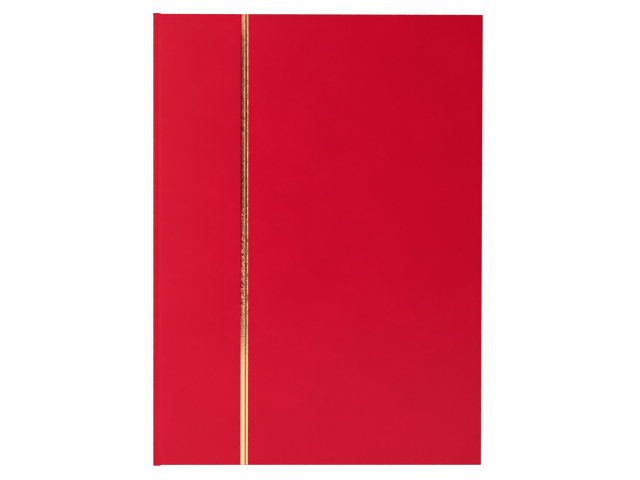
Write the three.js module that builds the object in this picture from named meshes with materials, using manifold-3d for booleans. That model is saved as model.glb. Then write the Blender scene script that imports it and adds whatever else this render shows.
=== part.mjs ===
// Hardback stamp album (stock book) with eight pocketed leaves, closed and lying on its back cover.
// Millimetres. X runs from spine to fore-edge, Y from tail to head and Z up through the thickness.
// The origin is under the middle of the closed album, on the surface that it lies on.
import * as THREE from "three";
import { mergeVertices } from "three/addons/utils/BufferGeometryUtils.js";
import Module from "manifold-3d";

const wasm = await Module();
wasm.setup();

// ---------------------------------------------------------------- driving dimensions

const COVER_HEIGHT = 305; // head to tail, over the covered boards
const COVER_WIDTH = 222.5; // spine face to fore-edge, album closed
const LEAF_COUNT = 8; // 16 pages

// Case
const BOARD = 2.2; // greyboard of both covers
const SPINE_BOARD = 1.5; // stiffener in the spine
const SKIN = 0.3; // leatherette
const PAPER = 0.15; // endpapers
const TURN_IN = 15; // leatherette folded over the boards' inner edges
const PASTEDOWN_MARGIN = 3; // leatherette left showing round a pastedown
const EDGE_RADIUS = 0.7; // rounding of a covered board's edges
const CORNER_RADIUS = 1.2; // a covered board's corners, seen from above
const BOARD_SETBACK = 5.4; // spine face to the boards' inner edges
const JOINT_DIP = 0.08; // depth of the shallow groove along the joint
const JOINT_RISE = 1; // how far past the board's edge the groove runs out
const CREASE_INSET = 0.5; // the fold lines lie this far in from the spine face and the cover faces
const CREASE_GAP = 0.1; // half of the slit that stands for each fold of the leatherette
const EAR = 0.5; // how far the folded leatherette stands past the boards at head and tail
const SPINE_END_SETBACK = 1.5; // cover face to the spine stiffener's long edges

// Gold bands, hot-stamped into the front leatherette from head to tail
const BAND_OFFSET = 59.3; // spine face to the wide band
const WIDE_BAND = 2.7;
const NARROW_BAND = 1.2;
const BAND_SPACE = 0.8; // between the two bands
const BAND_DEPTH = 0.1; // of the pressed channel
const FOIL = 0.06;
const FOIL_MARGIN = 0.03; // channel wall to foil

// Text block
const SQUARE = 4; // how far the covers stand past the leaves
const CARD = 0.5; // a leaf's card
const CARD_CORNER = 1.5; // its outer corners
const FILM = 0.1; // pocket film
const POCKET_SLIP = 0.08; // room for a stamp behind the film
const INTERLEAF = 0.06; // glassine sheet between two leaves
const FREE_GAP = 0.12; // air between a leaf and an interleaf
const BLOCK_GAP = 0.35; // air between the block and each cover
const SPINE_LINING = 0.25;
const GUARD_WIDTH = 12; // bound strip that the leaves are hinged to
const TAPE = 0.12; // linen of the leaf hinges
const TAPE_IN_GUARD = 6;
const TAPE_IN_CARD = 8;
const AXIS_CLEARANCE = 0.5; // guard edge to a leaf's hinge line
const HINGE_SLACK = 6; // hinge line to the card, bare linen
const INTERLEAF_INSET = 0.3; // hinge line to the interleaf's edge
const ENDPAPER_LAP = 9; // width of the endpaper strip tipped onto the block

// Pockets, as many rows as fit on a page
const STRIP_FILM_HEIGHT = 28.5;
const STRIP_SPACE = 3.5; // card showing between two strips
const SEAL = 2; // glued foot along each strip's lower edge
const PANEL_BORDER = 3; // sealed border at both ends of the strips
const PANEL_MARGIN = 4; // panel to the card's edges, at the least

// Wire stitches through the guard
const STITCH_COUNT = 3;
const STITCH_SPACING = 90;
const STITCH_SETBACK = 3.2; // guard's spine edge to the wire
const STITCH_WIDTH = 14;
const WIRE_RADIUS = 0.25;
const WIRE_CLEARANCE = 0.08;
const CLINCH = 5; // bent end of each leg

const GLUE = 0.02; // line between two glued layers
const OVERCUT = 1; // how far a cutting tool runs past the material

// ---------------------------------------------------------------- derived places

const halfHeight = COVER_HEIGHT / 2;
const turnInLevel = SKIN + GLUE + BOARD + GLUE; // depths below a cover's outer face
const pastedownLevel = turnInLevel + SKIN + GLUE;
const coverThickness = pastedownLevel + PAPER;

const pocketLayer = GLUE + POCKET_SLIP + FILM;
const leafThickness = CARD + 2 * pocketLayer;
const leafPitch = leafThickness + INTERLEAF + 2 * FREE_GAP;
const blockThickness = (LEAF_COUNT - 1) * leafPitch + leafThickness;
const blockBase = coverThickness + BLOCK_GAP;
const blockTop = blockBase + blockThickness;
const albumThickness = blockTop + BLOCK_GAP + coverThickness;

const spinePanel = SKIN + GLUE + SPINE_BOARD + GLUE + SKIN;
const liningFace = spinePanel + GLUE;
const guardFace = liningFace + SPINE_LINING + GLUE;
const guardEdge = guardFace + GUARD_WIDTH;
const hingeLine = guardEdge + AXIS_CLEARANCE;
const cardEdge = hingeLine + HINGE_SLACK;
const foreEdge = COVER_WIDTH - SQUARE;
const halfLeaf = halfHeight - SQUARE;
const stripPitch = STRIP_FILM_HEIGHT + STRIP_SPACE;
const stripCount = Math.floor((2 * (halfLeaf - PANEL_MARGIN) + STRIP_SPACE) / stripPitch);
const leafLevel = (leaf) => blockTop - leafThickness / 2 - (leaf - 1) * leafPitch; // leaf 1 is on top

// ---------------------------------------------------------------- materials

const material = (color, roughness, metalness = 0) =>
  new THREE.MeshStandardMaterial({ color, roughness, metalness });

const leatherette = material(0xbd0f2c, 0.45);
const greyboard = material(0x8d8578, 0.9);
const goldFoil = material(0xd9a850, 0.3, 1);
const endpaper = material(0xf1ede2, 0.85);
const pageCard = material(0xf4f1e8, 0.8);
const linen = material(0xe6e0d0, 0.95);
const stripFilm = material(0xe3e2d8, 0.35);
const glassine = material(0xeceade, 0.5);
const kraft = material(0xb39a73, 0.9);
const steelWire = material(0xb9bcc0, 0.35, 1);

// ---------------------------------------------------------------- shapes

// A box between two corners.
function box(x0, x1, y0, y1, z0, z1) {
  const geometry = new THREE.BoxGeometry(x1 - x0, y1 - y0, z1 - z0);
  return geometry.translate((x0 + x1) / 2, (y0 + y1) / 2, (z0 + z1) / 2);
}

// A closed geometry as a solid that can be cut and joined.
function solid(geometry) {
  const bare = geometry.clone();
  bare.deleteAttribute("normal");
  bare.deleteAttribute("uv");
  const merged = mergeVertices(bare, 1e-4);
  return new wasm.Manifold(
    new wasm.Mesh({
      numProp: 3,
      vertProperties: new Float32Array(merged.attributes.position.array),
      triVerts: new Uint32Array(merged.index.array),
    }),
  );
}

function geometryOf(cut) {
  const mesh = cut.getMesh();
  const geometry = new THREE.BufferGeometry();
  geometry.setAttribute("position", new THREE.BufferAttribute(mesh.vertProperties, 3));
  geometry.setIndex(new THREE.BufferAttribute(mesh.triVerts, 1));
  geometry.computeVertexNormals();
  return geometry;
}

const joined = (solids) => solids.reduce((all, next) => all.add(next));
const cutFrom = (body, tools) => tools.reduce((rest, tool) => rest.subtract(tool), body);

// A section drawn in X and Z, drawn out along Y.
function prismAlongY(points, y0, y1) {
  const shape = new THREE.Shape(points.map(([x, z]) => new THREE.Vector2(x, z)));
  const geometry = new THREE.ExtrudeGeometry(shape, { depth: y1 - y0, bevelEnabled: false });
  return geometry.rotateX(Math.PI / 2).translate(0, y1, 0);
}

// A section drawn in Y and Z, drawn out along X.
function prismAlongX(points, x0, x1) {
  const shape = new THREE.Shape(points.map(([y, z]) => new THREE.Vector2(y, z)));
  const geometry = new THREE.ExtrudeGeometry(shape, { depth: x1 - x0, bevelEnabled: false });
  const toYZ = new THREE.Matrix4().set(0, 0, 1, x0, 1, 0, 0, 0, 0, 1, 0, 0, 0, 0, 0, 1);
  return geometry.applyMatrix4(toYZ);
}

// A rectangle in X and Y with round corners, counterclockwise.
function roundedRectangle(x0, x1, y0, y1, radius) {
  const shape = new THREE.Shape();
  shape.moveTo(x0 + radius, y0);
  shape.lineTo(x1 - radius, y0);
  shape.absarc(x1 - radius, y0 + radius, radius, -Math.PI / 2, 0);
  shape.lineTo(x1, y1 - radius);
  shape.absarc(x1 - radius, y1 - radius, radius, 0, Math.PI / 2);
  shape.lineTo(x0 + radius, y1);
  shape.absarc(x0 + radius, y1 - radius, radius, Math.PI / 2, Math.PI);
  shape.lineTo(x0, y0 + radius);
  shape.absarc(x0 + radius, y0 + radius, radius, Math.PI, 1.5 * Math.PI);
  return shape;
}

// A plate with all its edges rounded, from z0 up to z1.
function roundedPlate(x0, x1, y0, y1, z0, z1) {
  const geometry = new THREE.ExtrudeGeometry(roundedRectangle(x0, x1, y0, y1, CORNER_RADIUS), {
    depth: z1 - z0 - 2 * EDGE_RADIUS,
    curveSegments: 3,
    bevelThickness: EDGE_RADIUS,
    bevelSize: EDGE_RADIUS,
    bevelOffset: -EDGE_RADIUS,
    bevelSegments: 3,
  });
  return geometry.translate(0, 0, z0 + EDGE_RADIUS);
}

// ---------------------------------------------------------------- case

// The pieces of a cover lie at or below z = 0, its outer face. The back cover is the front's mirror image.

// Depth of the joint's groove at x: nothing at the fold and on the board, and deepest halfway.
const grooveStart = CREASE_INSET + CREASE_GAP;
const grooveEnd = BOARD_SETBACK + JOINT_RISE;
function grooveDepth(x) {
  const along = (x - grooveStart) / (grooveEnd - grooveStart);
  return JOINT_DIP * Math.sin(Math.PI * along) ** 2;
}

function jointStrip(y0, y1, thickness) {
  const steps = 12;
  const upper = [];
  for (let i = 0; i <= steps; i++) {
    const x = THREE.MathUtils.lerp(grooveStart, grooveEnd, i / steps);
    upper.push([x, -grooveDepth(x)]);
  }
  const lower = upper.map(([x, z]) => [x, z - thickness]).reverse();
  return solid(prismAlongY([...lower, ...upper], y0, y1));
}

// The bands' places across the cover: [near edge, far edge].
const wideBand = [BAND_OFFSET, BAND_OFFSET + WIDE_BAND];
const narrowBand = [wideBand[1] + BAND_SPACE, wideBand[1] + BAND_SPACE + NARROW_BAND];

// Leatherette over a board's outer face and three edges, turned in on its inner face, with the joint strip.
function coverSkin(bands) {
  const plate = solid(
    roundedPlate(BOARD_SETBACK, COVER_WIDTH, -halfHeight, halfHeight, -turnInLevel - SKIN, 0),
  );
  const open = BOARD_SETBACK - OVERCUT;
  const insideY = halfHeight - SKIN;
  const windowY = halfHeight - TURN_IN;
  const boardSpace = solid(box(open, COVER_WIDTH - SKIN, -insideY, insideY, -turnInLevel, -SKIN));
  const window = solid(
    box(open, COVER_WIDTH - TURN_IN, -windowY, windowY, -turnInLevel - SKIN - OVERCUT, -SKIN - BOARD),
  );
  const shell = cutFrom(plate, [boardSpace, window]);

  const earY = halfHeight + EAR;
  const hemStart = earY - TURN_IN;
  const strip = joined([
    jointStrip(-earY, earY, SKIN),
    jointStrip(hemStart, earY, 2 * SKIN),
    jointStrip(-earY, -hemStart, 2 * SKIN),
  ]);
  // Past the joint the strip ends flush with the board, and its double hems stop at the board's edge.
  const trimX = grooveEnd + OVERCUT;
  const trims = [
    box(BOARD_SETBACK - CREASE_GAP, trimX, halfHeight, earY + OVERCUT, -BOARD, OVERCUT),
    box(BOARD_SETBACK - CREASE_GAP, trimX, -earY - OVERCUT, -halfHeight, -BOARD, OVERCUT),
    box(BOARD_SETBACK - CREASE_GAP, trimX, -earY, earY, -BOARD, -SKIN - GLUE / 2),
  ].map(solid);
  const channels = bands.map(([near, far]) =>
    solid(box(near, far, -earY, earY, -BAND_DEPTH, OVERCUT)),
  );
  return geometryOf(cutFrom(shell.add(cutFrom(strip, trims)), channels));
}

function coverBoard() {
  const y = halfHeight - SKIN - GLUE;
  const top = -SKIN - GLUE;
  const inner = BOARD_SETBACK + EDGE_RADIUS;
  return box(inner, COVER_WIDTH - SKIN - GLUE, -y, y, top - BOARD, top);
}

// Endpaper pasted over the turned-in leatherette, and down onto the board between its edges.
function pastedown() {
  const near = BOARD_SETBACK + EDGE_RADIUS;
  const far = COVER_WIDTH - PASTEDOWN_MARGIN;
  const y = halfHeight - PASTEDOWN_MARGIN;
  const stepX = COVER_WIDTH - TURN_IN - 2 * GLUE;
  const stepY = halfHeight - TURN_IN - 2 * GLUE;
  const border = solid(box(near, far, -y, y, -coverThickness, -pastedownLevel));
  const middle = solid(box(near, stepX, -stepY, stepY, -coverThickness, -turnInLevel));
  const recess = solid(
    box(
      near - OVERCUT,
      stepX - PAPER,
      -stepY + PAPER,
      stepY - PAPER,
      -coverThickness - OVERCUT,
      -turnInLevel - PAPER,
    ),
  );
  return geometryOf(cutFrom(border.add(middle), [recess]));
}

function foilBand([near, far]) {
  const y = halfHeight - EDGE_RADIUS;
  const top = FOIL - BAND_DEPTH + GLUE;
  return box(near + FOIL_MARGIN, far - FOIL_MARGIN, -y, y, top - FOIL, top);
}

// Leatherette over the spine's outer face, folded over the stiffener's ends onto its inner face.
function spineSkin() {
  const y = halfHeight + EAR;
  const foldZ0 = SPINE_END_SETBACK;
  const foldZ1 = albumThickness - SPINE_END_SETBACK;
  const crease = CREASE_INSET + CREASE_GAP;
  const face = solid(box(0, SKIN, -y, y, crease, albumThickness - crease));
  const folded = cutFrom(solid(box(0, spinePanel, -y, y, foldZ0, foldZ1)), [
    solid(box(SKIN, spinePanel - SKIN, -y + SKIN, y - SKIN, 0, albumThickness)),
    solid(box(SKIN, spinePanel + OVERCUT, -y + TURN_IN, y - TURN_IN, 0, albumThickness)),
  ]);
  return geometryOf(face.add(folded));
}

function spineStiffener() {
  const y = halfHeight + EAR - SKIN - GLUE;
  const x = SKIN + GLUE;
  return box(x, x + SPINE_BOARD, -y, y, SPINE_END_SETBACK, albumThickness - SPINE_END_SETBACK);
}

// ---------------------------------------------------------------- text block

// One wire stitch through the guard, its crown sunk in the top and its legs clinched inwards below.
function stitch(radius, y) {
  const x = guardFace + STITCH_SETBACK;
  const top = blockTop - WIRE_RADIUS - GLUE;
  const bottom = blockBase + WIRE_RADIUS + GLUE;
  const bar = (length) => new THREE.CylinderGeometry(radius, radius, length, 8);
  const middle = (top + bottom) / 2;
  const leg = (at) => bar(top - bottom + 2 * radius).rotateX(Math.PI / 2).translate(x, at, middle);
  const halfWidth = STITCH_WIDTH / 2;
  const clinchAt = halfWidth - CLINCH / 2;
  return joined(
    [
      bar(STITCH_WIDTH).translate(x, y, top),
      leg(y - halfWidth),
      leg(y + halfWidth),
      bar(CLINCH).translate(x, y - clinchAt, bottom),
      bar(CLINCH).translate(x, y + clinchAt, bottom),
    ].map(solid),
  );
}

const stitchPlaces = Array.from(
  { length: STITCH_COUNT },
  (_, i) => ((STITCH_COUNT - 1) / 2 - i) * STITCH_SPACING,
);

// Leaf stubs and spacers glued into one strip, slotted along its inner edge for the linen of each leaf.
function guard() {
  const slot = TAPE / 2 + GLUE;
  const points = [
    [guardFace, blockBase],
    [guardEdge, blockBase],
  ];
  for (let leaf = LEAF_COUNT; leaf >= 1; leaf--) {
    const z = leafLevel(leaf);
    points.push(
      [guardEdge, z - slot],
      [guardEdge - TAPE_IN_GUARD, z - slot],
      [guardEdge - TAPE_IN_GUARD, z + slot],
      [guardEdge, z + slot],
    );
  }
  points.push([guardEdge, blockTop], [guardFace, blockTop]);
  const strip = solid(prismAlongY(points, -halfLeaf, halfLeaf));
  const wireHoles = stitchPlaces.map((y) => stitch(WIRE_RADIUS + WIRE_CLEARANCE, y));
  return geometryOf(cutFrom(strip, wireHoles));
}

const spineLining = () =>
  box(liningFace, liningFace + SPINE_LINING, -halfLeaf, halfLeaf, blockBase, blockTop);

// Endpaper strip that ties the block to a cover, in that cover's own frame.
function endpaperJoint() {
  const middle = -coverThickness - BLOCK_GAP / 2;
  const x = guardFace;
  return box(x, x + ENDPAPER_LAP, -halfLeaf, halfLeaf, middle - PAPER / 2, middle + PAPER / 2);
}

// A leaf's pieces lie about z = 0, the middle of its card.

// Card with round outer corners and a slot along its inner edge for the linen.
function leafCard() {
  const slot = TAPE / 2 + GLUE;
  const sheet = solid(
    new THREE.ExtrudeGeometry(
      roundedRectangle(cardEdge, foreEdge, -halfLeaf, halfLeaf, CARD_CORNER),
      { depth: CARD, bevelEnabled: false, curveSegments: 4 },
    ).translate(0, 0, -CARD / 2),
  );
  const y = halfLeaf + OVERCUT;
  const linenSlot = solid(box(cardEdge - OVERCUT, cardEdge + TAPE_IN_CARD, -y, y, -slot, slot));
  return geometryOf(cutFrom(sheet, [linenSlot]));
}

const hingeTape = () =>
  box(
    guardEdge - TAPE_IN_GUARD + GLUE,
    cardEdge + TAPE_IN_CARD - GLUE,
    -halfLeaf + CARD_CORNER,
    halfLeaf - CARD_CORNER,
    -TAPE / 2,
    TAPE / 2,
  );

// The strips of film for one page: each is open along its upper edge, stands off the card by the
// slip, and is sealed to the card along its lower edge and at both ends.
function pocketPanel() {
  const x0 = cardEdge + PANEL_MARGIN;
  const x1 = foreEdge - PANEL_MARGIN;
  const y0 = -(stripCount * stripPitch - STRIP_SPACE) / 2;
  const seat = CARD / 2 + GLUE;
  const filmBase = seat + POCKET_SLIP;
  const top = filmBase + FILM;
  const sheet = solid(box(x0, x1, y0, -y0, seat, top));
  // Under each strip's film, and right through the space above it.
  const openings = Array.from({ length: stripCount }, (_, i) => {
    const foot = y0 + i * stripPitch + SEAL;
    const lip = y0 + i * stripPitch + STRIP_FILM_HEIGHT;
    const next = lip + STRIP_SPACE;
    const under = [
      [foot, seat - OVERCUT],
      [next, seat - OVERCUT],
    ];
    const through = [
      [next, top + OVERCUT],
      [lip, top + OVERCUT],
      [lip, filmBase],
      [foot, filmBase],
    ];
    return solid(prismAlongX([...under, ...through], x0 + PANEL_BORDER, x1 - PANEL_BORDER));
  });
  return geometryOf(cutFrom(sheet, openings));
}

const interleafSheet = () =>
  box(hingeLine + INTERLEAF_INSET, foreEdge, -halfLeaf, halfLeaf, -INTERLEAF / 2, INTERLEAF / 2);

// ---------------------------------------------------------------- assembly

function piece(name, geometry, look) {
  const mesh = new THREE.Mesh(geometry, look);
  mesh.name = name;
  return mesh;
}

function frontCover() {
  const cover = new THREE.Group();
  cover.position.z = albumThickness;
  cover.add(
    piece("front_leatherette", coverSkin([wideBand, narrowBand]), leatherette),
    piece("front_board", coverBoard(), greyboard),
    piece("front_pastedown", pastedown(), endpaper),
    piece("gold_band_wide", foilBand(wideBand), goldFoil),
    piece("gold_band_narrow", foilBand(narrowBand), goldFoil),
    piece("front_endpaper_joint", endpaperJoint(), endpaper),
  );
  return cover;
}

function backCover() {
  const cover = new THREE.Group();
  cover.scale.z = -1;
  cover.add(
    piece("back_leatherette", coverSkin([]), leatherette),
    piece("back_board", coverBoard(), greyboard),
    piece("back_pastedown", pastedown(), endpaper),
    piece("back_endpaper_joint", endpaperJoint(), endpaper),
  );
  return cover;
}

function boundSpine() {
  const spine = new THREE.Group();
  spine.add(
    piece("spine_leatherette", spineSkin(), leatherette),
    piece("spine_board", spineStiffener(), greyboard),
    piece("spine_lining", spineLining(), kraft),
    piece("guard_block", guard(), pageCard),
  );
  stitchPlaces.forEach((y, i) => {
    spine.add(piece(`stitch_wire_${i + 1}`, geometryOf(stitch(WIRE_RADIUS, y)), steelWire));
  });
  return spine;
}

function leaf(number, shared) {
  const group = new THREE.Group();
  group.position.z = leafLevel(number);
  const verso = piece(`leaf_${number}_pockets_verso`, shared.pockets, stripFilm);
  verso.scale.z = -1;
  group.add(
    piece(`leaf_${number}_card`, shared.card, pageCard),
    piece(`leaf_${number}_pockets_recto`, shared.pockets, stripFilm),
    verso,
    piece(`leaf_${number}_hinge_tape`, shared.tape, linen),
  );
  return group;
}

const album = new THREE.Group();
album.position.x = -COVER_WIDTH / 2;
album.add(frontCover(), boundSpine(), backCover());

const leafShapes = { card: leafCard(), pockets: pocketPanel(), tape: hingeTape() };
const interleafShape = interleafSheet();
for (let number = 1; number <= LEAF_COUNT; number++) {
  album.add(leaf(number, leafShapes));
  if (number < LEAF_COUNT) {
    const sheet = piece(`interleaf_${number}`, interleafShape, glassine);
    sheet.position.z = leafLevel(number) - leafPitch / 2;
    album.add(sheet);
  }
}

const part = new THREE.Group();
part.add(album);
export default part;
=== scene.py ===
"""Looks for the stamp album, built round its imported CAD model.

Sizes are in millimetres unless a line says otherwise.
"""
import math

import bpy
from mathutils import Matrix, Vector

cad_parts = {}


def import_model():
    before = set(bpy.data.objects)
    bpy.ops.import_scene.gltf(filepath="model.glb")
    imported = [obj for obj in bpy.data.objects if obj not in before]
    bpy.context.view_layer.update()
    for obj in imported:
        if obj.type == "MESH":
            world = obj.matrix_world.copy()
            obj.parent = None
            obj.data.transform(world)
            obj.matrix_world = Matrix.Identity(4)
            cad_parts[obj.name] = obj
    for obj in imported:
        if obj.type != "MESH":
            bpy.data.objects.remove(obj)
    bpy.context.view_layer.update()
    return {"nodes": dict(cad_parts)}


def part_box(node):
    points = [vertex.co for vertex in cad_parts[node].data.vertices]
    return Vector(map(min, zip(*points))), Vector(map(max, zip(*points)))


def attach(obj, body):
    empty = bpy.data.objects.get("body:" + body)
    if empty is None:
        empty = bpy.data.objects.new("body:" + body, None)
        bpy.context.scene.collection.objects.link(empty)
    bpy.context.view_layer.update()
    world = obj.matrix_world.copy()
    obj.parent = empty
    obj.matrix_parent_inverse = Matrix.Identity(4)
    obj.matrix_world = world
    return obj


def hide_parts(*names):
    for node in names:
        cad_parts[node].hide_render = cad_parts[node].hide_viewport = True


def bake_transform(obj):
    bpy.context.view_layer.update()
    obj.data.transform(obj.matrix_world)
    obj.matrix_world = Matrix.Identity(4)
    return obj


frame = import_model()

MM = 0.001

# ---------------------------------------------------------------- sizes shared with the CAD model


def node_box(name):
    """A CAD node's lowest and highest corners, in millimetres."""
    low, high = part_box(name)
    return Vector(low) / MM, Vector(high) / MM


front_low, front_high = node_box("front_leatherette")
spine_low, spine_high = node_box("spine_leatherette")
guard_low, guard_high = node_box("guard_block")
card_low, card_high = node_box("leaf_1_card")
tape_low, tape_high = node_box("leaf_1_hinge_tape")

SPINE_X = spine_low.x
FORE_X = front_high.x
THICK = front_high.z
SKIN = 0.3  # the leatherette
EAR_END = spine_high.y  # head end of the folded spine leatherette
COVER_END = EAR_END - 0.5  # head end of the covers
COVER_SHELL = THICK - front_low.z  # outer face to the turned-in leatherette
WINDOW = 15.0  # width of the turned-in leatherette
SPINE_SHELL = spine_high.x - SPINE_X  # outer face to the folded leatherette
LEAF_COUNT = 8
PITCH = (node_box("leaf_1_card")[0].z - node_box("leaf_8_card")[0].z) / (LEAF_COUNT - 1)
LEAF_TOP = (card_low.z + card_high.z) / 2


def leaf_level(number):
    """Height of the middle of a leaf's card."""
    return LEAF_TOP - (number - 1) * PITCH


# ---------------------------------------------------------------- node materials


class Look:
    """A material under construction: node() adds a node, and an output socket given as a value is linked."""

    def __init__(self, name):
        self.material = bpy.data.materials.new(name)
        self.material.use_nodes = True
        self.tree = self.material.node_tree
        self.tree.nodes.clear()
        self.output = self.tree.nodes.new("ShaderNodeOutputMaterial")

    def node(self, kind, values=None, **settings):
        made = self.tree.nodes.new("ShaderNode" + kind)
        for key, value in settings.items():
            setattr(made, key, value)
        for key, value in (values or {}).items():
            self.put(made.inputs[key], value)
        return made

    def put(self, socket, value):
        if isinstance(value, bpy.types.NodeSocket):
            self.tree.links.new(value, socket)
        elif socket.type == "RGBA" and len(value) == 3:
            socket.default_value = (*value, 1.0)
        else:
            socket.default_value = value

    def math(self, operation, a, b=0.0, clamp=False):
        made = self.node("Math", {0: a, 1: b}, operation=operation)
        made.use_clamp = clamp
        return made.outputs[0]

    def noise(self, vector, scale, detail, rough):
        values = {"Vector": vector, "Scale": scale, "Detail": detail, "Roughness": rough}
        return self.node("TexNoise", values).outputs["Fac"]

    def jostled(self, vector, scale, reach):
        """The place moved about by noise, so that cells laid there lose their straight edges."""
        warp = self.node("TexNoise", {"Vector": vector, "Scale": scale, "Detail": 2.0}).outputs["Color"]
        centred = self.node("VectorMath", {0: warp, 1: (0.5, 0.5, 0.5)}, operation="SUBTRACT").outputs[0]
        small = self.node("VectorMath", {0: centred, "Scale": reach}, operation="SCALE")
        return self.node("VectorMath", {0: vector, 1: small.outputs[0]}, operation="ADD").outputs[0]

    def remap(self, value, from_low, from_high, to_low, to_high):
        values = {0: value, 1: from_low, 2: from_high, 3: to_low, 4: to_high}
        return self.node("MapRange", values).outputs[0]

    def blend_colour(self, factor, a, b):
        made = self.node("Mix", data_type="RGBA")
        for socket, value in ((made.inputs[0], factor), (made.inputs[6], a), (made.inputs[7], b)):
            self.put(socket, value)
        return made.outputs[2]

    def bump(self, height, strength, distance):
        """The distance is in metres."""
        values = {"Height": height, "Strength": strength, "Distance": distance}
        return self.node("Bump", values).outputs[0]

    def scaled(self, vector, x, y, z=1.0):
        values = {"Vector": vector, "Scale": (x, y, z)}
        return self.node("Mapping", values).outputs[0]

    def uv(self):
        return self.node("TexCoord").outputs["UV"]

    def own(self):
        return self.node("TexCoord").outputs["Object"]

    def surface(self, values):
        shader = self.node("BsdfPrincipled", values)
        self.tree.links.new(shader.outputs[0], self.output.inputs[0])


def leatherette_look():
    """Embossed red leatherette: a fine pebble grain with faint mottling, and painted shade in the grain's
    valleys.
    """
    look = Look("red_leatherette")
    uv = look.uv()
    place = look.jostled(uv, 420.0, 0.0009)
    cells = look.node("TexVoronoi", {"Vector": place, "Scale": 1250.0}, feature="SMOOTH_F1")
    cells.inputs["Smoothness"].default_value = 0.5
    pebbles = cells.outputs["Distance"]
    coarse = look.noise(uv, 260.0, 3.0, 0.6)
    fine = look.noise(uv, 3800.0, 2.0, 0.5)
    rise = look.math("SUBTRACT", 1.0, pebbles)
    height = look.math("ADD", rise, look.math("MULTIPLY", coarse, 0.28))
    height = look.math("ADD", height, look.math("MULTIPLY", fine, 0.12))
    cloud = look.noise(uv, 22.0, 3.0, 0.55)
    mottle = look.remap(cloud, 0.35, 0.65, 0.0, 1.0)
    red = look.blend_colour(mottle, (0.635, 0.0017, 0.0190), (0.665, 0.0021, 0.0210))
    # painted shade in the grain's valleys
    valley_shade = look.remap(pebbles, 0.55, 0.95, 0.0, 0.16)
    red = look.blend_colour(valley_shade, red, (0.42, 0.001, 0.012))
    # painted shade along the board edges, the spine's corner and the channel sides, darkest at 1; from 1 to
    # 1.5 it turns gilt
    worked = look.node("Attribute", attribute_name="worked").outputs["Fac"]
    red = look.blend_colour(worked, red, (0.17, 0.003, 0.009))
    gilt = look.remap(worked, 1.0, 1.5, 0.0, 1.0)
    red = look.blend_colour(gilt, red, (0.33, 0.050, 0.014))
    rough = look.remap(look.noise(uv, 70.0, 4.0, 0.6), 0.3, 0.7, 0.24, 0.29)
    look.surface(
        {
            "Base Color": red,
            "Roughness": rough,
            "Specular IOR Level": 0.070,
            "Normal": look.bump(height, 0.22, 0.00006),
        }
    )
    return look.material


def foil_look():
    """Gold foil stamped on the grain, pressed smooth towards the tail. Its upper part is a deeper gold, a
    painted dark reflection, with dark specks that are partly pits the foil missed and partly painted dark
    reflection. Painted shade and red reflection tint its edge on the spine's side; painted shade darkens its
    other edge, which has fewer specks."""
    look = Look("gold_foil")
    uv = look.uv()
    along = look.node("SeparateXYZ", {"Vector": uv}).outputs["Y"]
    # in metres from the foil's tail end: smooth first, most speckled at 0.124 to 0.150, then less and less
    upper = look.remap(along, 0.084, 0.124, 0.0, 1.0)
    speckled = look.math("MULTIPLY", upper, look.remap(along, 0.150, 0.190, 1.0, 0.72))
    speckled = look.math("MULTIPLY", speckled, look.remap(along, 0.245, 0.300, 1.0, 0.45))
    place = look.scaled(look.jostled(uv, 900.0, 0.0008), 0.55, 1.0)
    cells = look.node("TexVoronoi", {"Vector": place, "Scale": 2100.0}, feature="F1")
    chance = look.node("SeparateColor", {"Color": cells.outputs["Color"]}).outputs["Red"]
    edge = look.node("Attribute", attribute_name="worked").outputs["Fac"]
    left = look.math("MULTIPLY", look.math("MULTIPLY", edge, -1.0, clamp=True), upper)
    right = look.math("MAXIMUM", edge, 0.0)
    speck_share = look.remap(look.math("POWER", right, 0.3), 0.0, 1.0, 1.0, 0.25)
    # dark specks: partly pits the foil missed, partly painted dark reflection; fewer near the far edge
    speck_cells = look.remap(chance, 0.58, 0.68, 0.0, 1.0)
    dark_specks = look.math("MULTIPLY", speck_cells, look.math("MULTIPLY", speckled, speck_share))
    # the upper part's deeper gold is a painted dark reflection
    gold = look.blend_colour(upper, (1.0, 0.585, 0.20), (1.0, 0.45, 0.175))
    # painted shade along the far edge, then painted shade and red reflection along the spine's side
    gold = look.blend_colour(look.math("MULTIPLY", right, 0.9), gold, (0.50, 0.075, 0.04))
    gold = look.blend_colour(look.math("MULTIPLY", left, 0.95), gold, (1.0, 0.09, 0.07))
    gold = look.blend_colour(dark_specks, gold, (0.07, 0.018, 0.007))
    rough = look.remap(look.noise(uv, 600.0, 2.0, 0.5), 0.3, 0.7, 0.15, 0.22)
    rough = look.math("MULTIPLY", rough, look.remap(speckled, 0.0, 1.0, 1.0, 0.5))
    dome = look.math("MULTIPLY", cells.outputs["Distance"], -0.8)
    height = look.math("ADD", dome, look.noise(uv, 1600.0, 2.0, 0.5))
    height = look.math("MULTIPLY", height, look.remap(speckled, 0.0, 1.0, 0.10, 2.2))
    look.surface(
        {
            "Base Color": gold,
            "Metallic": 1.0,
            "Roughness": rough,
            "Normal": look.bump(height, 0.40, 0.00008),
        }
    )
    return look.material


def paper_look(name, colour, tint, fibre, rough):
    """Uncoated paper or card: cloudy formation, short fibres and a faint tooth."""
    look = Look(name)
    place = look.own()
    cloud = look.noise(place, 90.0, 4.0, 0.6)
    strands = look.noise(look.scaled(place, 260.0, 1500.0, 1500.0), 1.0, 3.0, 0.65)
    tooth = look.noise(place, 5200.0, 2.0, 0.5)
    base = look.blend_colour(look.remap(cloud, 0.35, 0.65, 0.0, 1.0), colour, tint)
    base = look.blend_colour(look.remap(strands, 0.62, 0.75, 0.0, fibre), base, tuple(0.82 * c for c in tint))
    height = look.math("ADD", look.math("MULTIPLY", strands, 0.6), look.math("MULTIPLY", tooth, 0.5))
    look.surface({"Base Color": base, "Roughness": rough, "Normal": look.bump(height, 0.22, 0.00005)})
    return look.material


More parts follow.
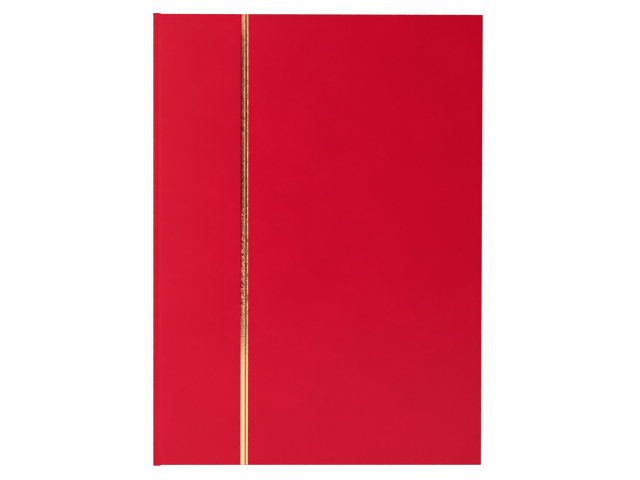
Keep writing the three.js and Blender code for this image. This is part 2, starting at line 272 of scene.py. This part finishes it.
def board_look():
    """Greyboard: recycled pulp with dark and light flecks."""
    look = Look("greyboard")
    place = look.own()
    fleck = look.noise(place, 1800.0, 3.0, 0.7)
    base = look.blend_colour(look.remap(fleck, 0.4, 0.7, 0.0, 1.0), (0.24, 0.22, 0.185), (0.36, 0.335, 0.29))
    look.surface({"Base Color": base, "Roughness": 0.9, "Normal": look.bump(fleck, 0.4, 0.0001)})
    return look.material


def linen_look():
    """Bookbinder's linen: a plain weave of fine threads."""
    look = Look("book_linen")
    uv = look.uv()
    warp = look.node("TexWave", {"Vector": uv, "Scale": 420.0, "Distortion": 0.6}, bands_direction="X")
    weft = look.node("TexWave", {"Vector": uv, "Scale": 420.0, "Distortion": 0.6}, bands_direction="Y")
    threads = look.math("MAXIMUM", warp.outputs["Fac"], weft.outputs["Fac"])
    slub = look.noise(look.scaled(uv, 900.0, 120.0), 1.0, 2.0, 0.5)
    base = look.blend_colour(look.math("MULTIPLY", threads, 0.75), (0.50, 0.46, 0.38), (0.80, 0.77, 0.68))
    base = look.blend_colour(look.remap(slub, 0.55, 0.75, 0.0, 0.3), base, (0.86, 0.83, 0.75))
    look.surface(
        {
            "Base Color": base,
            "Roughness": 0.92,
            "Sheen Weight": 0.15,
            "Normal": look.bump(threads, 0.5, 0.00008),
        }
    )
    return look.material


def glassine_look(name, colour, alpha, rough):
    """Glazed translucent paper: milky, faintly streaked, with a soft gloss."""
    look = Look(name)
    uv = look.uv()
    streak = look.noise(look.scaled(uv, 40.0, 700.0), 1.0, 3.0, 0.6)
    cloud = look.noise(uv, 110.0, 4.0, 0.6)
    mixed = look.math("ADD", look.math("MULTIPLY", streak, 0.5), look.math("MULTIPLY", cloud, 0.5))
    haze = look.remap(mixed, 0.35, 0.65, alpha - 0.06, alpha + 0.06)
    base = look.blend_colour(look.remap(cloud, 0.3, 0.7, 0.0, 1.0), colour, tuple(0.93 * c for c in colour))
    look.surface(
        {
            "Base Color": base,
            "Roughness": rough,
            "Alpha": haze,
            "Normal": look.bump(cloud, 0.12, 0.00012),
        }
    )
    return look.material


def wire_look():
    """Drawn steel wire with fine lengthwise lines."""
    look = Look("stitch_wire")
    place = look.own()
    lines = look.noise(look.scaled(place, 5000.0, 90.0, 5000.0), 1.0, 2.0, 0.5)
    look.surface(
        {
            "Base Color": look.blend_colour(lines, (0.50, 0.51, 0.53), (0.66, 0.67, 0.69)),
            "Metallic": 1.0,
            "Roughness": look.remap(lines, 0.3, 0.7, 0.25, 0.42),
            "Normal": look.bump(lines, 0.15, 0.00003),
        }
    )
    return look.material


LEATHERETTE = leatherette_look()
FOIL = foil_look()
CARD = paper_look("page_card", (0.80, 0.755, 0.655), (0.765, 0.715, 0.61), 0.12, 0.62)
ENDPAPER = paper_look("endpaper", (0.80, 0.765, 0.68), (0.77, 0.73, 0.64), 0.2, 0.7)
STUB = paper_look("guard_card", (0.76, 0.735, 0.66), (0.70, 0.67, 0.59), 0.3, 0.8)
KRAFT = paper_look("kraft_lining", (0.43, 0.31, 0.18), (0.37, 0.26, 0.15), 0.5, 0.85)
BOARD = board_look()
LINEN = linen_look()
STRIP = glassine_look("pocket_glassine", (0.86, 0.865, 0.83), 0.45, 0.24)
INTERLEAF = glassine_look("interleaf_glassine", (0.90, 0.89, 0.83), 0.62, 0.34)
WIRE = wire_look()

# ---------------------------------------------------------------- mesh helpers


def piece(name, verts, faces, material, uvs=None, sharp=50.0, wrap=0.0, worked=None):
    """A smooth-shaded mesh from millimetre points. uvs holds one (u, v) in millimetres for each vertex.
    wrap is v's full length round a closed section. worked is one number for each vertex that its look reads:
    on the leatherette, how much shade is painted on it, turning gilt from 1 to 1.5; on the foil, how near it
    is to its edge, where its look paints shade."""
    mesh = bpy.data.meshes.new(name)
    mesh.from_pydata([Vector(v) * MM for v in verts], [], faces)
    if uvs is not None:
        layer = mesh.uv_layers.new(name="UVMap")
        for face in mesh.polygons:
            corners = [(i, uvs[mesh.loops[i].vertex_index]) for i in face.loop_indices]
            far = max(v for _, (_, v) in corners)
            for i, (u, v) in corners:
                if wrap and far - v > wrap / 2:
                    v += wrap
                layer.data[i].uv = (u * MM, v * MM)
    if worked is not None:
        mesh.attributes.new("worked", "FLOAT", "POINT").data.foreach_set("value", worked)
    mesh.validate()
    mesh.shade_smooth()
    mesh.set_sharp_from_angle(angle=math.radians(sharp))
    mesh.materials.append(material)
    obj = bpy.data.objects.new(name, mesh)
    bpy.context.scene.collection.objects.link(obj)
    return obj


def loft(loops, closed=True, flip=False):
    """Quads between neighbouring loops of equal length. Returns (points, faces)."""
    count = len(loops[0])
    faces = []
    for i in range(len(loops) - 1):
        for j in range(count if closed else count - 1):
            k = (j + 1) % count
            quad = (i * count + j, i * count + k, (i + 1) * count + k, (i + 1) * count + j)
            faces.append(quad[::-1] if flip else quad)
    return [p for loop in loops for p in loop], faces


def lengths(points):
    """Running length along a line of points."""
    total = [0.0]
    for a, b in zip(points, points[1:]):
        total.append(total[-1] + (Vector(b) - Vector(a)).length)
    return total


def steps(low, high, count):
    """Evenly spaced places from low to high, both included."""
    return [low + (high - low) * i / count for i in range(count + 1)]


def end_faces(points, outline):
    """The faces that close both ends of a loft, from its points and its outline."""
    count = len(outline)
    last = len(points) - 1
    return [tuple(range(count)), tuple(range(last, last - count, -1))]


# ---------------------------------------------------------------- case

CORNER = 1.2  # rounding between the spine's face and a cover's
CREASE_LINES = [  # (in from the spine's face, down from the cover's, painted shade) where the spine board ends
    (0.0, 1.7, 0.5), (0.0, 1.55, 0.7), (0.05, 1.42, 0.8), (0.06, 1.3, 0.9),
]
JOINT_END = 6.4  # where the joint's groove runs out on the board
JOINT_DIP = 0.08
BOARD_EDGE = 5.4
BOARD_RAMP = 0.5  # the leatherette climbs onto the board over this width
BANDS = [(59.3, 62.0), (62.8, 64.0)]  # (near, far) edges of the gold bands, from the spine's face
BAND_MARGIN = 1.5  # width beside a band that has no stations of its own
CHANNEL = 0.06  # depth of the channel that the foil is stamped into
CHANNEL_SIDE = 0.12
CHANNEL_SHADE_WIDTH = 0.45  # how far painted shade reaches beside a stamped channel
EDGE = 0.8  # rounding of a covered board's edge
EDGE_ROUNDED = 0.985  # share of that rounding at the fore-edge, which leaves its closing face a little width
HEM = 0.3  # rounding of the folded leatherette
SPINE_FOLD = 0.5  # rounding of the spine's folded ends

# painted shade: 0 is plain leatherette, 1 is the darkest painted shade, and from 1 to 1.5 it turns gilt
EDGE_SHADE = 0.6
LIP_SHADE = 0.6
CHANNEL_SHADE = 0.9
GILT_WORK = 1.5


def section(end, wrap, floor, radius, inset=0.0, pressed=0.0, work=0.0):
    """One loop of (y, depth, painted shade) points round the leatherette at one place across the cover.
    It runs along the outer face, round the end, back along the turned-in part and across the inside.
    wrap and floor are the depths of those last two. inset thins the whole loop, pressed lowers only its
    outer face, and the last argument paints shade on that face, turning gilt from 1 to 1.5. The end's
    rounding gets painted shade too."""
    deep = inset + pressed
    half = [(f * (end - radius), deep, work) for f in steps(0.0, 1.0, 10)]
    # painted shade on the rounding of the end, from the outer face round to the turned-in part
    for a in steps(0.0, math.pi / 2, 5)[1:]:
        reach = radius - deep
        edge_shade = max(work, EDGE_SHADE * math.sin(a))
        half.append((end - radius + reach * math.sin(a), radius - reach * math.cos(a), edge_shade))
    for a in steps(0.0, math.pi / 2, 5):
        reach = radius - inset
        y = end - radius + reach * math.cos(a)
        half.append((y, wrap - radius + reach * math.sin(a), EDGE_SHADE * math.cos(a)))
    inner = COVER_END - WINDOW
    half.append((inner, wrap - inset, 0.0))
    half.append((inner, floor - inset, 0.0))
    back = [(-y, d, w) for y, d, w in half[::-1]]
    return half + back[:-1]


def stations(bands):
    """Places across half of the case, from the middle of the spine to the fore-edge.
    Each is (x, height above the album's middle, the direction inward, the section's arguments)."""
    top = THICK / 2
    out = []

    def add(x, up, inward, **values):
        out.append((x, up, inward, values))

    spine = dict(end=EAR_END, wrap=SPINE_SHELL, floor=SKIN, radius=SPINE_FOLD)
    joint = dict(end=EAR_END, wrap=2 * SKIN, floor=SKIN, radius=HEM)
    cover = dict(end=COVER_END, wrap=COVER_SHELL, floor=COVER_SHELL - SKIN, radius=EDGE)
    for up in (0.0, 2.0, 4.0, 5.2, 6.1):
        add(0.0, up, (1, 0), **spine)
    # painted shade along the lines where the spine board ends
    for x, down, work in CREASE_LINES:
        add(x, top - down, (1, 0), work=work, **(joint if x else spine))
    # painted shade on the spine's corner, strongest next to the spine's face
    for a in steps(0.0, math.pi / 2, 7):
        x = CORNER * (1 - math.cos(a))
        up = top - CORNER * (1 - math.sin(a))
        add(x, up, (math.cos(a), -math.sin(a)), work=min(1.0, 2 * math.cos(a)), **joint)
    span = JOINT_END - CORNER
    for x in steps(CORNER, JOINT_END, 15)[1:]:
        up = top - JOINT_DIP * math.sin(math.pi * (x - CORNER) / span) ** 2
        share = min(1.0, max(0.0, (x - BOARD_EDGE + BOARD_RAMP) / BOARD_RAMP))
        values = {key: joint[key] + (cover[key] - joint[key]) * share for key in joint}
        add(x, up, (0, -1), **values)
    width = FORE_X - SPINE_X
    plain = [7.5, 9.0, 12.0, *map(float, range(20, int(width - WINDOW), 12))]
    for near, far in bands:
        plain = [x for x in plain if not near - BAND_MARGIN < x < far + BAND_MARGIN]
    marks = {x: (0.0, 0.0) for x in plain}  # place: (pressed, painted shade, turning gilt above 1)
    # painted shade on the channels' lips and edges and for a width beside them; gilt on the leatherette
    # between the bands
    for near, far in bands:
        for edge, out_of in ((near, -1), (far, 1)):
            between = edge in (bands[0][1], bands[-1][0])
            if not between:
                marks[edge + out_of * (CHANNEL_SIDE + CHANNEL_SHADE_WIDTH)] = (0.0, 0.0)
            marks[edge + out_of * CHANNEL_SIDE] = (0.0, GILT_WORK if between else LIP_SHADE)
            marks[edge] = (CHANNEL, GILT_WORK if between else CHANNEL_SHADE)
    for x in sorted(marks):
        pressed, work = marks[x]
        add(x, top, (0, -1), pressed=pressed, work=work, **cover)
    solid = dict(cover, floor=COVER_SHELL)
    add(width - WINDOW - 0.02, top, (0, -1), **cover)
    for back in (WINDOW, 8.0, 2.5, EDGE):
        add(width - back, top, (0, -1), **solid)
    # painted shade on the fore-edge's rounding
    for a in steps(0.0, math.pi / 2, 6)[1:]:
        inset = EDGE_ROUNDED * EDGE * (1 - math.cos(a))
        work = EDGE_SHADE * math.sin(a)
        add(width - EDGE + EDGE * math.sin(a), top, (0, -1), inset=inset, work=work, **solid)
    return out


def on_case(station, point, front):
    """A section's point at a station, in the shared frame."""
    x, up, inward, _ = station
    y, depth = point[:2]
    height = up + depth * inward[1]
    return (SPINE_X + x + depth * inward[0], y, THICK / 2 + (height if front else -height))


def case_half(front):
    """One cover's leatherette and half of the spine's, as one skin from the middle of the spine round its
    corner to the fore-edge.
    """
    places = stations(BANDS if front else [])
    sections = [section(**s[3]) for s in places]
    loops = [[on_case(s, p, front) for p in points] for s, points in zip(places, sections)]
    verts, faces = loft(loops, flip=not front)
    count = len(loops[0])
    across = lengths([(s[0], 0, s[1]) for s in places])
    along = lengths(loops[len(loops) // 2] + [loops[len(loops) // 2][0]])
    uvs = [(u, v) for u in across for v in along[:-1]]
    worked = [w for points in sections for _, _, w in points]
    cap = tuple(range(len(verts), len(verts) + count))
    faces.append(cap if front else cap[::-1])
    verts += loops[-1]
    uvs += [(across[-1] + depth, along[-1] + y) for y, depth, _ in sections[-1]]
    # painted shade on the fore-edge's closing face
    worked += [EDGE_SHADE] * count
    name = "front_case_leatherette" if front else "back_case_leatherette"
    obj = piece(name, verts, faces, LEATHERETTE, uvs, wrap=along[-1], worked=worked)
    if front:
        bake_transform(obj)
        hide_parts("front_leatherette", "spine_leatherette")
    else:
        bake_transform(obj)
        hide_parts("back_leatherette")


FOIL_GAP = 0.01  # between the foil and its channel's sides
FOIL_INSET = 0.012  # the foil below the cover's face along its edges
FOIL_HOLLOW = 0.034  # and how much deeper along its middle
FOIL_TURN_IN = 6.0


def foil_band(name, near, far, spine_side_shade):
    """Foil that follows the pressed channel over the outer face and round both ends onto the inside.
    Its last argument sets how strongly painted shade and red reflection tint its edge on the spine's side."""
    across = steps(near + FOIL_GAP, far - FOIL_GAP, 12)
    middle = (near + far) / 2
    half = (far - near) / 2

    # a mask for the painted shade along the foil's edges
    def edge_shade_mask(x):
        """How near x is to an edge of the foil: negative on the spine's side, positive on the other."""
        if x < middle:
            return -spine_side_shade * ((middle - x) / half) ** 1.5
        return ((x - middle) / half) ** 10

    loops = []
    for x in across:
        bow = ((x - middle) / half) ** 2
        depth = FOIL_INSET + FOIL_HOLLOW * (1 - bow ** 2)
        line = section(COVER_END, COVER_SHELL, COVER_SHELL, EDGE, inset=depth)
        half_count = (len(line) + 1) // 2
        one = line[: half_count - 2] + [(COVER_END - FOIL_TURN_IN, COVER_SHELL - depth)]
        path = [(-p[0], p[1]) for p in one[::-1]][:-1] + [p[:2] for p in one]
        path = [(y, d if d < COVER_SHELL / 2 else d + 2 * depth) for y, d in path]
        loops.append([on_case((x, THICK / 2, (0, -1), None), p, True) for p in path])
    verts, faces = loft(loops, closed=False)
    along = lengths(loops[0])
    uvs = [(x, v) for x in across for v in along]
    worked = [edge_shade_mask(x) for x in across for _ in along]
    obj = piece(name + "_foil", verts, faces, FOIL, uvs, 60, worked=worked)
    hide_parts(name)
    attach(obj, "front_cover")


COVER_DEPTH = 3.01  # a cover's outer face to its inner one
FOLD_CLEAR = 0.06  # between the folded endpaper's middle and the faces that it lies on
FOLD_START = 3.6  # where the fold begins, from the spine's face
FOLD_BULGE = 1.6  # how much longer the fold is than high
FOLD_ON_COVER = 8.4
FOLD_ON_BLOCK = 11.4
ENDPAPER_HALF = 0.035  # half of the sheet's thickness


def endpaper_fold(front):
    """Endpaper strip from the pastedown's edge, folded by the spine and tipped onto the block."""
    upper = THICK - COVER_DEPTH - FOLD_CLEAR
    lower = guard_high.z + FOLD_CLEAR
    middle = (upper + lower) / 2
    turn = (upper - lower) / 2
    path = [(x, upper) for x in steps(FOLD_ON_COVER, FOLD_START, 6)]
    for a in steps(0.0, math.pi, 12)[1:-1]:
        path.append((FOLD_START - (turn + 0.05) * math.sin(a) * FOLD_BULGE, middle + turn * math.cos(a)))
    path += [(x, lower) for x in steps(FOLD_START, FOLD_ON_BLOCK, 6)]
    rows = []
    for offset in (-ENDPAPER_HALF, ENDPAPER_HALF):
        row = []
        for i, (x, z) in enumerate(path):
            a = path[max(i - 1, 0)]
            b = path[min(i + 1, len(path) - 1)]
            t = Vector((b[0] - a[0], b[1] - a[1])).normalized()
            row.append((x - t.y * offset, z + t.x * offset))
        rows.append(row)
    outline = rows[0] + rows[1][::-1]
    loops = []
    for y in steps(guard_low.y + 0.6, guard_high.y - 0.6, 8):
        loops.append([(SPINE_X + x, y, z if front else THICK - z) for x, z in outline])
    verts, faces = loft(loops, flip=front)
    faces += end_faces(verts, outline)
    name = "front_endpaper_fold" if front else "back_endpaper_fold"
    obj = piece(name, verts, faces, ENDPAPER, sharp=60)
    low, high = lower + FOLD_CLEAR / 2, upper - FOLD_CLEAR / 2
    if not front:
        low, high = THICK - low, THICK - high
    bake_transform(obj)
    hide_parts("front_endpaper_joint" if front else "back_endpaper_joint")


# ---------------------------------------------------------------- text block


def slab(x0, x1, y0, y1, z0, z1, b):
    """A plate with its edges chamfered by b all round: (points, faces)."""
    loops = [
        [(x0 + b, y0 + b, z0), (x1 - b, y0 + b, z0), (x1 - b, y1 - b, z0), (x0 + b, y1 - b, z0)],
        [(x0, y0, z0 + b), (x1, y0, z0 + b), (x1, y1, z0 + b), (x0, y1, z0 + b)],
        [(x0, y0, z1 - b), (x1, y0, z1 - b), (x1, y1, z1 - b), (x0, y1, z1 - b)],
        [(x0 + b, y0 + b, z1), (x1 - b, y0 + b, z1), (x1 - b, y1 - b, z1), (x0 + b, y1 - b, z1)],
    ]
    verts, faces = loft(loops)
    faces += [(3, 2, 1, 0), (12, 13, 14, 15)]
    return verts, faces


def merged(parts):
    """Several (points, faces) as one."""
    verts, faces = [], []
    for v, f in parts:
        base = len(verts)
        verts += v
        faces += [tuple(i + base for i in face) for face in f]
    return verts, faces


def wobble(seed, size):
    """A repeatable offset between -size and size."""
    return size * (2 * math.modf(abs(math.sin(seed * 12.9898) * 43758.5453))[0] - 1)


LINEN_SLOT = 0.08  # from the middle of a hinge's linen to the plies beside it
PLY_GAP = 0.035  # from the middle of an interleaf to the plies beside it
PLY_BEVEL = 0.05
FORE_UNEVEN = 0.07  # how far a ply may fall short beside the leaves
END_UNEVEN = 0.14  # and at the head and tail


def guard_plies():
    """The bound strip as it is built: two plies of card for each leaf, trimmed almost flush."""
    plies = []
    count = 0
    for number in range(1, LEAF_COUNT + 1):
        z = leaf_level(number)
        upper = min(z + PITCH / 2 - PLY_GAP, guard_high.z)
        lower = max(z - PITCH / 2 + PLY_GAP, guard_low.z)
        for z0, z1 in ((z + LINEN_SLOT, upper), (lower, z - LINEN_SLOT)):
            count += 1
            x1 = guard_high.x - abs(wobble(count, FORE_UNEVEN))
            y0 = guard_low.y + abs(wobble(count + 31, END_UNEVEN))
            y1 = guard_high.y - abs(wobble(count + 57, END_UNEVEN))
            plies.append(slab(guard_low.x, x1, y0, y1, z0, z1, PLY_BEVEL))
    verts, faces = merged(plies)
    obj = piece("guard_plies", verts, faces, STUB, sharp=30)
    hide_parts("guard_block")
    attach(obj, "text_block")


FOLD_END = card_low.x - 0.6  # where the fine steps of a hinge or an interleaf end, just before the leaf's card


def bent_sheet(name, low, high, z, thick, material):
    """A thin flat sheet let into the guard and running on beside it: a grid with fine steps from the guard's
    edge to just before the leaf's card.
    low and high are its corners, of which only x and y count, and z is the middle of its thickness."""
    xs = [low.x] + steps(guard_high.x, FOLD_END, 12) + steps(FOLD_END, high.x, 6)[1:]
    outline = [(x, z + thick / 2) for x in xs] + [(x, z - thick / 2) for x in xs[::-1]]
    loops = [[(x, y, h) for x, h in outline] for y in steps(low.y, high.y, 10)]
    verts, faces = loft(loops, flip=True)
    faces += end_faces(verts, outline)
    uvs = [(x, y) for x, y, _ in verts]
    obj = piece(name, verts, faces, material, uvs)
    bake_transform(obj)
    return obj


STRIP_PITCH = 32.0
STRIP_HEIGHT = 28.5
SEAL = 2.6  # width of a strip's sealed end
STRIP_SHIFT = 37.0  # moves the glassine's streaks along from one strip to the next
FILM_FOOT = 0.06  # points of the section above this stand off the card, and come down to it at the seals
SEALED = 0.02  # and this is how far off the card they are there
STRIP_SECTION = [  # (up the page, off the card): the foot, the film and the open lip, outside then inside
    (0.0, 0.012), (0.1, 0.03), (1.9, 0.036), (3.2, 0.092), (6.0, 0.112), (16.0, 0.126), (28.2, 0.158),
    (28.42, 0.165), (28.5, 0.152), (28.42, 0.138), (28.2, 0.132), (16.0, 0.1), (6.0, 0.086),
    (3.2, 0.066), (1.9, 0.006), (0.1, 0.004),
]


def pocket_strips(number, side):
    """Nine glassine strips on one page, sealed at the foot and both ends, with open upper lips."""
    node = f"leaf_{number}_pockets_{side}"
    low, high = node_box(node)
    recto = side == "recto"
    seat = low.z if recto else high.z
    near_end = (0.0, SEAL, 4.2, 9.0)
    across = [low.x + d for d in near_end] + steps(low.x + 30, high.x - 30, 4)
    across += [high.x - d for d in near_end[::-1]]
    parts = []
    uvs = []
    rows = round((high.y - low.y + STRIP_PITCH - STRIP_HEIGHT) / STRIP_PITCH)
    for row in range(rows):
        foot = low.y + row * STRIP_PITCH
        loops = []
        for x in across:
            end = min(x - low.x, high.x - x)
            lift = 0.0 if end < 1.1 * SEAL else min(1.0, (end - SEAL) / 6 + 0.25)
            loop = []
            for up, off in STRIP_SECTION:
                off = SEALED + (off - SEALED) * (lift if off > FILM_FOOT else 1.0)
                loop.append((x, foot + up, seat + (off if recto else -off)))
            loops.append(loop)
        verts, faces = loft(loops, flip=not recto)
        ends = end_faces(verts, STRIP_SECTION)
        faces += ends if recto else [face[::-1] for face in ends]
        parts.append((verts, faces))
        uvs += [(x + STRIP_SHIFT * row, y) for x, y, _ in verts]
    verts, faces = merged(parts)
    obj = piece(f"leaf_{number}_strips_{side}", verts, faces, STRIP, uvs)
    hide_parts(node)
    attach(obj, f"leaf_{number}")


INTERLEAF_BOUND = 6.0  # width of an interleaf that is bound in the guard
INTERLEAF_TRIM = 0.4
INTERLEAF_THICK = 0.05


def text_block():
    """The guard, and the leaves and interleaves that hang from it."""
    guard_plies()
    for number in range(1, LEAF_COUNT + 1):
        z = leaf_level(number)
        for side in ("recto", "verso"):
            pocket_strips(number, side)
        leaf = f"leaf_{number}"
        hinge = bent_sheet(leaf + "_linen_hinge", tape_low, tape_high, z, tape_high.z - tape_low.z,
                           LINEN)
        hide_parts(leaf + "_hinge_tape")
        if number < LEAF_COUNT:
            interleaf = f"interleaf_{number}"
            low, high = node_box(interleaf)
            low = Vector((guard_high.x - INTERLEAF_BOUND, low.y + INTERLEAF_TRIM, 0))
            high = Vector((high.x - 0.5, high.y - INTERLEAF_TRIM, 0))
            sheet = bent_sheet(interleaf + "_sheet", low, high, z - PITCH / 2, INTERLEAF_THICK,
                               INTERLEAF)
            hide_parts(interleaf)


def dress_nodes():
    """Procedural looks for the CAD pieces that show as they are."""
    looks = {
        "front_board": BOARD, "back_board": BOARD, "spine_board": BOARD, "spine_lining": KRAFT,
        "front_pastedown": ENDPAPER, "back_pastedown": ENDPAPER,
    }
    looks.update({f"stitch_wire_{i}": WIRE for i in (1, 2, 3)})
    looks.update({f"leaf_{i}_card": CARD for i in range(1, LEAF_COUNT + 1)})
    for name, material in looks.items():
        obj = frame["nodes"][name]
        obj.data.materials.clear()
        obj.data.materials.append(material)


# ---------------------------------------------------------------- studio


def area_light(name, place, aim, size, power, colour=(1, 1, 1)):
    """A rectangular light that the camera doesn't see. Places and sizes are in metres and power in watts."""
    data = bpy.data.lights.new(name, "AREA")
    data.shape = "RECTANGLE"
    data.size, data.size_y = size
    data.energy = power
    data.color = colour
    obj = bpy.data.objects.new(name, data)
    obj.location = place
    obj.rotation_mode = "QUATERNION"
    obj.rotation_quaternion = (Vector(aim) - Vector(place)).to_track_quat("-Z", "Y")
    obj.visible_camera = False
    bpy.context.scene.collection.objects.link(obj)


def panel(name, x, y, size, power):
    """A cool light that hangs level over one part of the cover, which mirrors it softly."""
    area_light(name, (x, y, 0.5), (x, y, 0), size, power, (0.82, 0.9, 1.22))


FLOOR_REACH = 30.0  # metres
FLOOR_DROP = 0.0003  # metres below the album


def floor():
    """A pale floor that is bright enough to stay white under the album's soft shadow."""
    look = Look("studio_floor")
    place = look.own()
    tone = look.noise(place, 3.0, 3.0, 0.5)
    base = look.blend_colour(tone, (0.34, 0.34, 0.34), (0.37, 0.37, 0.37))
    look.surface(
        {
            "Base Color": base,
            "Roughness": 0.8,
            "Specular IOR Level": 0.1,
            "Emission Color": (1.0, 1.0, 1.0),
            "Emission Strength": 1.2,
        }
    )
    corners = [(x * FLOOR_REACH, y * FLOOR_REACH, 0) for x, y in ((-1, -1), (1, -1), (1, 1), (-1, 1))]
    mesh = bpy.data.meshes.new("studio_floor")
    mesh.from_pydata(corners, [], [(0, 1, 2, 3)])
    mesh.materials.append(look.material)
    obj = bpy.data.objects.new("studio_floor", mesh)
    obj.location.z = -FLOOR_DROP
    bpy.context.scene.collection.objects.link(obj)


WALL_LIGHT = 0.38
CEILING_LIGHT = 0.03
WALL_TOP = 0.35  # height on the unit sphere round the scene where the walls begin to darken
CEILING_EDGE = 0.80


def world():
    """White to the camera. To everything else it is bright walls round a dark ceiling."""
    made = bpy.data.worlds.new("studio")
    bpy.context.scene.world = made
    made.use_nodes = True
    tree = made.node_tree
    tree.nodes.clear()
    out = tree.nodes.new("ShaderNodeOutputWorld")
    mix = tree.nodes.new("ShaderNodeMixShader")
    seen = tree.nodes.new("ShaderNodeBackground")
    seen.inputs[0].default_value = (1, 1, 1, 1)
    seen.inputs[1].default_value = 1.0
    lit = tree.nodes.new("ShaderNodeBackground")
    lit.inputs[0].default_value = (1, 1, 1, 1)
    place = tree.nodes.new("ShaderNodeTexCoord")
    split = tree.nodes.new("ShaderNodeSeparateXYZ")
    fall = tree.nodes.new("ShaderNodeMapRange")
    fall.interpolation_type = "SMOOTHSTEP"
    for slot, value in ((1, WALL_TOP), (2, CEILING_EDGE), (3, WALL_LIGHT), (4, CEILING_LIGHT)):
        fall.inputs[slot].default_value = value
    tree.links.new(place.outputs["Generated"], split.inputs[0])
    tree.links.new(split.outputs[2], fall.inputs[0])
    tree.links.new(fall.outputs[0], lit.inputs[1])
    ray = tree.nodes.new("ShaderNodeLightPath")
    tree.links.new(ray.outputs["Is Camera Ray"], mix.inputs[0])
    tree.links.new(lit.outputs[0], mix.inputs[1])
    tree.links.new(seen.outputs[0], mix.inputs[2])
    tree.links.new(mix.outputs[0], out.inputs[0])


VIEW_WIDTH = 432.19  # how much of the front cover's plane the picture is wide
VIEW_AIM = (1.48, 0.20)
VIEW_DISTANCE = 1.55  # metres
VIEW_LEAN = (-1.7, -1.05, 0.12)  # degrees


def camera():
    """Over the front cover, leaning a little, so that its outline widens towards the head and the spine."""
    data = bpy.data.cameras.new("camera")
    data.sensor_width = 36.0
    data.lens = data.sensor_width * VIEW_DISTANCE / (VIEW_WIDTH * MM)
    obj = bpy.data.objects.new("camera", data)
    obj.rotation_euler = [math.radians(angle) for angle in VIEW_LEAN]
    aim = Vector((*VIEW_AIM, THICK)) * MM
    obj.location = aim + obj.rotation_euler.to_matrix() @ Vector((0, 0, VIEW_DISTANCE))
    bpy.context.scene.collection.objects.link(obj)
    bpy.context.scene.camera = obj


def studio():
    bpy.context.scene.view_settings.view_transform = "Standard"
    floor()
    world()
    camera()
    area_light("key_left", (-0.60, 0.14, 0.62), (0, 0, 0), (0.5, 0.9), 4.5)
    area_light("fill_right", (1.3, 0.1, 0.28), (0, 0, 0), (0.5, 1.2), 2.2)
    area_light("rim_head", (0.0, 1.4, 0.28), (0, 0, 0), (1.4, 0.5), 2.2)
    area_light("fill_tail", (0.0, -1.4, 0.28), (0, 0, 0), (1.4, 0.5), 2.2)
    panel("panel_left", -0.231, -0.015, (0.24, 0.80), 1.17)
    panel("panel_tail", 0.069, -0.285, (0.80, 0.36), 1.23)
    panel("panel_head", -0.191, 0.385, (0.36, 0.40), 0.42)


studio()
case_half(True)
case_half(False)
foil_band("gold_band_wide", *BANDS[0], 1.0)
foil_band("gold_band_narrow", *BANDS[1], 0.3)
endpaper_fold(True)
endpaper_fold(False)
text_block()
dress_nodes()
